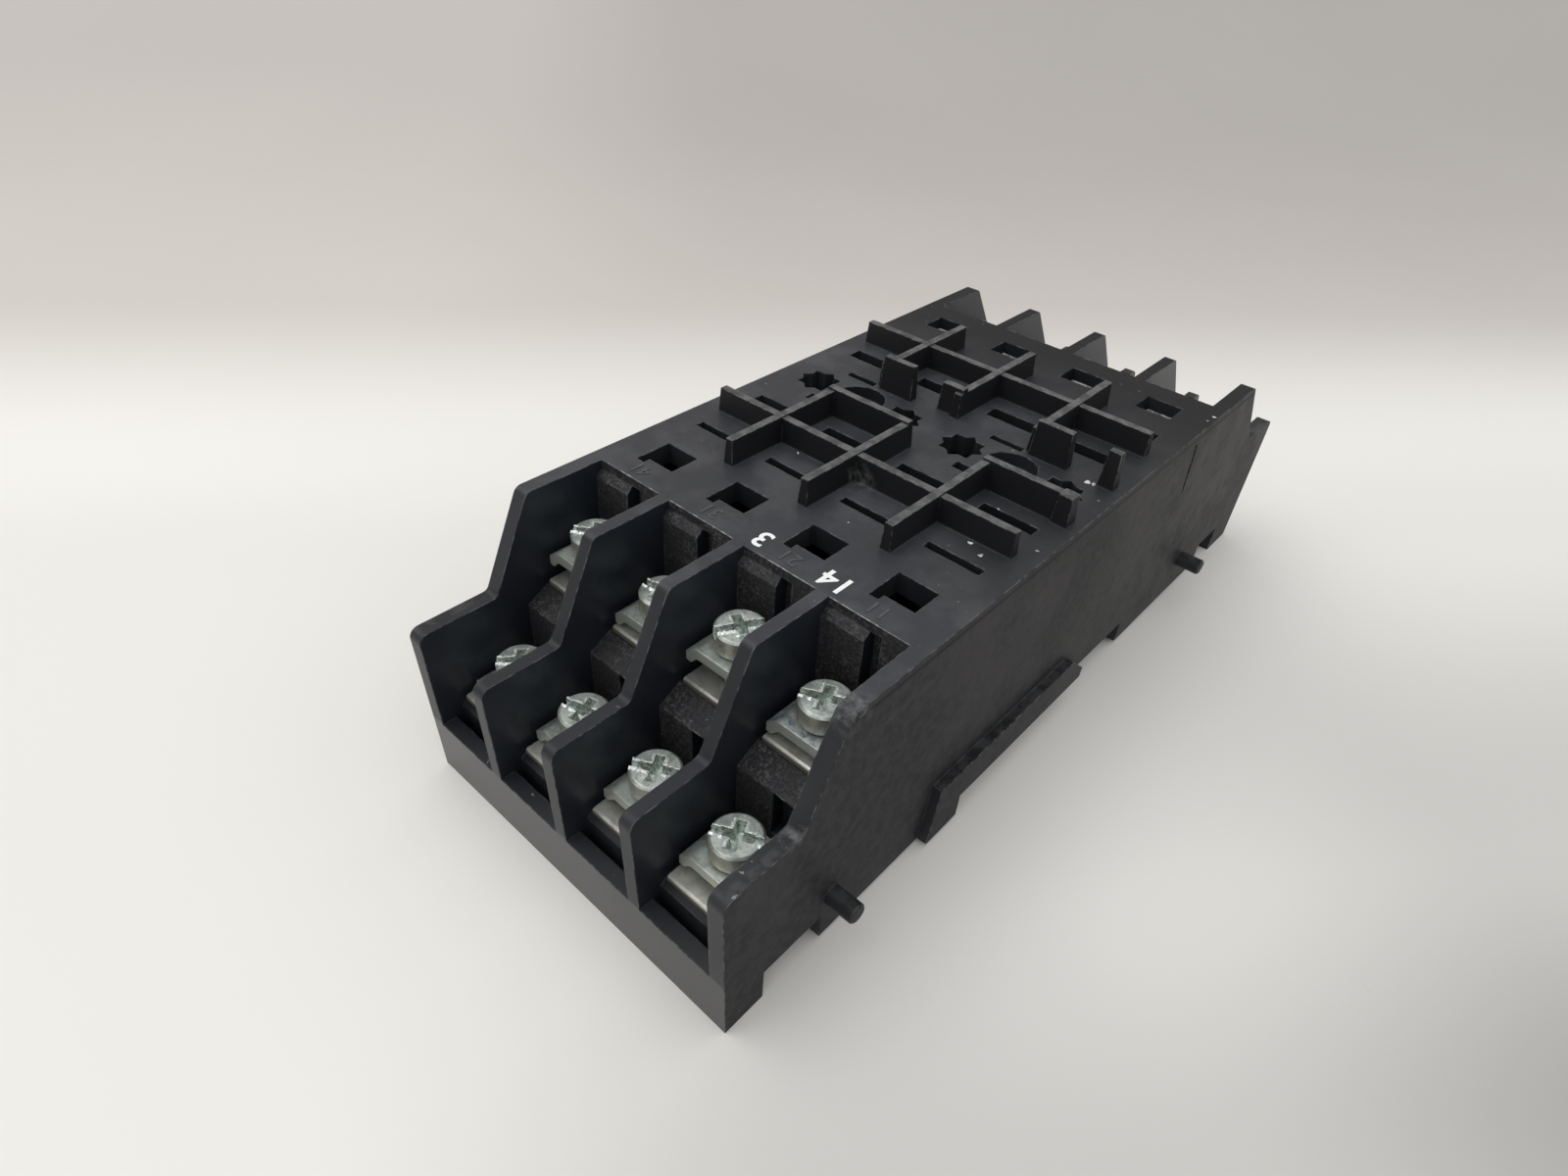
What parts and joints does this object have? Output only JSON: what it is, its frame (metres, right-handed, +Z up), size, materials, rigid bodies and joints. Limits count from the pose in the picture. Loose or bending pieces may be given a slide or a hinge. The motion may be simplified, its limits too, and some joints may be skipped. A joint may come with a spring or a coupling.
{
  "type": "relay socket",
  "caption": "Screw-terminal relay socket for a mounting rail, with two terminal tiers at each end and a ribbed, slotted seat for a plug-in relay.",
  "frame": {"origin": "middle of the mounting rail, in the plane of the feet", "axes": "+X across the socket towards the side with the pegs, +Y along it towards the coil terminals, +Z up from the mounting surface"},
  "size_m": [0.0484, 0.1142, 0.0357],
  "materials": {
    "body": "fine moulded texture, black",
    "cover": "moulded, black",
    "latch": "moulded, black",
    "strip": "nickel plated, brushed",
    "clamp": "zinc plated",
    "screw": "zinc plated"
  },
  "bodies": {
    "base": {"housing": "body", "base_cover": "cover", "contact_near_upper_1": "strip", "contact_near_upper_2": "strip", "contact_near_upper_3": "strip", "contact_near_upper_4": "strip", "contact_near_lower_1": "strip", "contact_near_lower_2": "strip", "contact_near_lower_3": "strip", "contact_near_lower_4": "strip", "contact_far_upper_1": "strip", "contact_far_upper_2": "strip", "contact_far_upper_3": "strip", "contact_far_upper_4": "strip", "contact_far_lower_1": "strip", "contact_far_lower_3": "strip"},
    "clamp_near_upper_1": {"clamp_near_upper_1": "clamp"},
    "screw_near_upper_1": {"screw_near_upper_1": "screw"},
    "clamp_near_upper_2": {"clamp_near_upper_2": "clamp"},
    "screw_near_upper_2": {"screw_near_upper_2": "screw"},
    "clamp_near_upper_3": {"clamp_near_upper_3": "clamp"},
    "screw_near_upper_3": {"screw_near_upper_3": "screw"},
    "clamp_near_upper_4": {"clamp_near_upper_4": "clamp"},
    "screw_near_upper_4": {"screw_near_upper_4": "screw"},
    "clamp_near_lower_1": {"clamp_near_lower_1": "clamp"},
    "screw_near_lower_1": {"screw_near_lower_1": "screw"},
    "clamp_near_lower_2": {"clamp_near_lower_2": "clamp"},
    "screw_near_lower_2": {"screw_near_lower_2": "screw"},
    "clamp_near_lower_3": {"clamp_near_lower_3": "clamp"},
    "screw_near_lower_3": {"screw_near_lower_3": "screw"},
    "clamp_near_lower_4": {"clamp_near_lower_4": "clamp"},
    "screw_near_lower_4": {"screw_near_lower_4": "screw"},
    "clamp_far_upper_1": {"clamp_far_upper_1": "clamp"},
    "screw_far_upper_1": {"screw_far_upper_1": "screw"},
    "clamp_far_upper_2": {"clamp_far_upper_2": "clamp"},
    "screw_far_upper_2": {"screw_far_upper_2": "screw"},
    "clamp_far_upper_3": {"clamp_far_upper_3": "clamp"},
    "screw_far_upper_3": {"screw_far_upper_3": "screw"},
    "clamp_far_upper_4": {"clamp_far_upper_4": "clamp"},
    "screw_far_upper_4": {"screw_far_upper_4": "screw"},
    "clamp_far_lower_1": {"clamp_far_lower_1": "clamp"},
    "screw_far_lower_1": {"screw_far_lower_1": "screw"},
    "clamp_far_lower_3": {"clamp_far_lower_3": "clamp"},
    "screw_far_lower_3": {"screw_far_lower_3": "screw"},
    "rail_latch": {"rail_latch": "latch"}
  },
  "joints": [
    {"name": "lift_near_upper_1", "type": "slide", "parent": "base", "child": "clamp_near_upper_1", "axis": [0, 0, 1], "range_m": [-0.0019, 0.0015]},
    {"name": "turn_near_upper_1", "type": "hinge", "parent": "clamp_near_upper_1", "child": "screw_near_upper_1", "pos_m": [-0.01605, -0.03795, 0.019], "axis": [0, 0, 1], "range_deg": [-1413, 1125]},
    {"name": "lift_near_upper_2", "type": "slide", "parent": "base", "child": "clamp_near_upper_2", "axis": [0, 0, 1], "range_m": [-0.00025, 0.00315]},
    {"name": "turn_near_upper_2", "type": "hinge", "parent": "clamp_near_upper_2", "child": "screw_near_upper_2", "pos_m": [-0.00535, -0.03795, 0.019], "axis": [0, 0, 1], "range_deg": [-225, 2313]},
    {"name": "lift_near_upper_3", "type": "slide", "parent": "base", "child": "clamp_near_upper_3", "axis": [0, 0, 1], "range_m": [-0.00225, 0.00115]},
    {"name": "turn_near_upper_3", "type": "hinge", "parent": "clamp_near_upper_3", "child": "screw_near_upper_3", "pos_m": [0.00535, -0.03795, 0.019], "axis": [0, 0, 1], "range_deg": [-1665, 873]},
    {"name": "lift_near_upper_4", "type": "slide", "parent": "base", "child": "clamp_near_upper_4", "axis": [0, 0, 1], "range_m": [-0.00045, 0.00295]},
    {"name": "turn_near_upper_4", "type": "hinge", "parent": "clamp_near_upper_4", "child": "screw_near_upper_4", "pos_m": [0.01605, -0.03795, 0.019], "axis": [0, 0, 1], "range_deg": [-369, 2169]},
    {"name": "lift_near_lower_1", "type": "slide", "parent": "base", "child": "clamp_near_lower_1", "axis": [0, 0, 1], "range_m": [0, 0.0034]},
    {"name": "turn_near_lower_1", "type": "hinge", "parent": "clamp_near_lower_1", "child": "screw_near_lower_1", "pos_m": [-0.01605, -0.04895, 0.0097], "axis": [0, 0, 1], "range_deg": [-45, 2493]},
    {"name": "lift_near_lower_2", "type": "slide", "parent": "base", "child": "clamp_near_lower_2", "axis": [0, 0, 1], "range_m": [-0.0004, 0.003]},
    {"name": "turn_near_lower_2", "type": "hinge", "parent": "clamp_near_lower_2", "child": "screw_near_lower_2", "pos_m": [-0.00535, -0.04895, 0.0097], "axis": [0, 0, 1], "range_deg": [-333, 2205]},
    {"name": "lift_near_lower_3", "type": "slide", "parent": "base", "child": "clamp_near_lower_3", "axis": [0, 0, 1], "range_m": [-0.00045, 0.00295]},
    {"name": "turn_near_lower_3", "type": "hinge", "parent": "clamp_near_lower_3", "child": "screw_near_lower_3", "pos_m": [0.00535, -0.04895, 0.0097], "axis": [0, 0, 1], "range_deg": [-369, 2169]},
    {"name": "lift_near_lower_4", "type": "slide", "parent": "base", "child": "clamp_near_lower_4", "axis": [0, 0, 1], "range_m": [-0.00045, 0.00295]},
    {"name": "turn_near_lower_4", "type": "hinge", "parent": "clamp_near_lower_4", "child": "screw_near_lower_4", "pos_m": [0.01605, -0.04895, 0.0097], "axis": [0, 0, 1], "range_deg": [-369, 2169]},
    {"name": "lift_far_upper_1", "type": "slide", "parent": "base", "child": "clamp_far_upper_1", "axis": [0, 0, 1], "range_m": [-0.00045, 0.00295]},
    {"name": "turn_far_upper_1", "type": "hinge", "parent": "clamp_far_upper_1", "child": "screw_far_upper_1", "pos_m": [-0.01605, 0.036, 0.019], "axis": [0, 0, 1], "range_deg": [-369, 2169]},
    {"name": "lift_far_upper_2", "type": "slide", "parent": "base", "child": "clamp_far_upper_2", "axis": [0, 0, 1], "range_m": [-0.00045, 0.00295]},
    {"name": "turn_far_upper_2", "type": "hinge", "parent": "clamp_far_upper_2", "child": "screw_far_upper_2", "pos_m": [-0.00535, 0.036, 0.019], "axis": [0, 0, 1], "range_deg": [-369, 2169]},
    {"name": "lift_far_upper_3", "type": "slide", "parent": "base", "child": "clamp_far_upper_3", "axis": [0, 0, 1], "range_m": [-0.00045, 0.00295]},
    {"name": "turn_far_upper_3", "type": "hinge", "parent": "clamp_far_upper_3", "child": "screw_far_upper_3", "pos_m": [0.00535, 0.036, 0.019], "axis": [0, 0, 1], "range_deg": [-369, 2169]},
    {"name": "lift_far_upper_4", "type": "slide", "parent": "base", "child": "clamp_far_upper_4", "axis": [0, 0, 1], "range_m": [-0.00045, 0.00295]},
    {"name": "turn_far_upper_4", "type": "hinge", "parent": "clamp_far_upper_4", "child": "screw_far_upper_4", "pos_m": [0.01605, 0.036, 0.019], "axis": [0, 0, 1], "range_deg": [-369, 2169]},
    {"name": "lift_far_lower_1", "type": "slide", "parent": "base", "child": "clamp_far_lower_1", "axis": [0, 0, 1], "range_m": [-0.00045, 0.00295]},
    {"name": "turn_far_lower_1", "type": "hinge", "parent": "clamp_far_lower_1", "child": "screw_far_lower_1", "pos_m": [-0.01605, 0.04895, 0.0097], "axis": [0, 0, 1], "range_deg": [-369, 2169]},
    {"name": "lift_far_lower_3", "type": "slide", "parent": "base", "child": "clamp_far_lower_3", "axis": [0, 0, 1], "range_m": [-0.00045, 0.00295]},
    {"name": "turn_far_lower_3", "type": "hinge", "parent": "clamp_far_lower_3", "child": "screw_far_lower_3", "pos_m": [0.00535, 0.04895, 0.0097], "axis": [0, 0, 1], "range_deg": [-369, 2169]},
    {"name": "latch_slide", "type": "slide", "parent": "base", "child": "rail_latch", "axis": [0, -1, 0], "range_m": [0, 0.003], "stiffness_N_per_m": 900}
  ],
  "couplings": [
    {"joint": "turn_near_upper_1", "follows": "lift_near_upper_1", "rad_per_m": 12566},
    {"joint": "turn_near_upper_2", "follows": "lift_near_upper_2", "rad_per_m": 12566},
    {"joint": "turn_near_upper_3", "follows": "lift_near_upper_3", "rad_per_m": 12566},
    {"joint": "turn_near_upper_4", "follows": "lift_near_upper_4", "rad_per_m": 12566},
    {"joint": "turn_near_lower_1", "follows": "lift_near_lower_1", "rad_per_m": 12566},
    {"joint": "turn_near_lower_2", "follows": "lift_near_lower_2", "rad_per_m": 12566},
    {"joint": "turn_near_lower_3", "follows": "lift_near_lower_3", "rad_per_m": 12566},
    {"joint": "turn_near_lower_4", "follows": "lift_near_lower_4", "rad_per_m": 12566},
    {"joint": "turn_far_upper_1", "follows": "lift_far_upper_1", "rad_per_m": 12566},
    {"joint": "turn_far_upper_2", "follows": "lift_far_upper_2", "rad_per_m": 12566},
    {"joint": "turn_far_upper_3", "follows": "lift_far_upper_3", "rad_per_m": 12566},
    {"joint": "turn_far_upper_4", "follows": "lift_far_upper_4", "rad_per_m": 12566},
    {"joint": "turn_far_lower_1", "follows": "lift_far_lower_1", "rad_per_m": 12566},
    {"joint": "turn_far_lower_3", "follows": "lift_far_lower_3", "rad_per_m": 12566}
  ]
}
